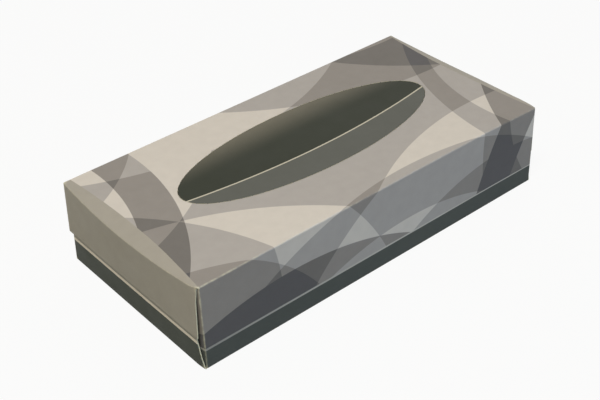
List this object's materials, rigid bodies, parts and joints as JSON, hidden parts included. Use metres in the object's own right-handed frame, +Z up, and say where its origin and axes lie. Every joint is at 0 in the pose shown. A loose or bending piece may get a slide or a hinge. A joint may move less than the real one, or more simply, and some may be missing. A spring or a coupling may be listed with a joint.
{
  "type": "tissue box",
  "caption": "Sealed flat carton of facial tissues with a perforated oval tear-out in the top and glued end flaps on curved creases.",
  "frame": {"origin": "middle of the base, on the surface that the carton lies on", "axes": "+X along the carton from end to end, +Y from the front long side to the back long side, +Z up out of the top with the oval"},
  "size_m": [0.2395, 0.117, 0.0505],
  "materials": {
    "printed_board": "printed in greys, satin varnish"
  },
  "bodies": {
    "root": {"carton": "printed_board"}
  },
  "joints": []
}
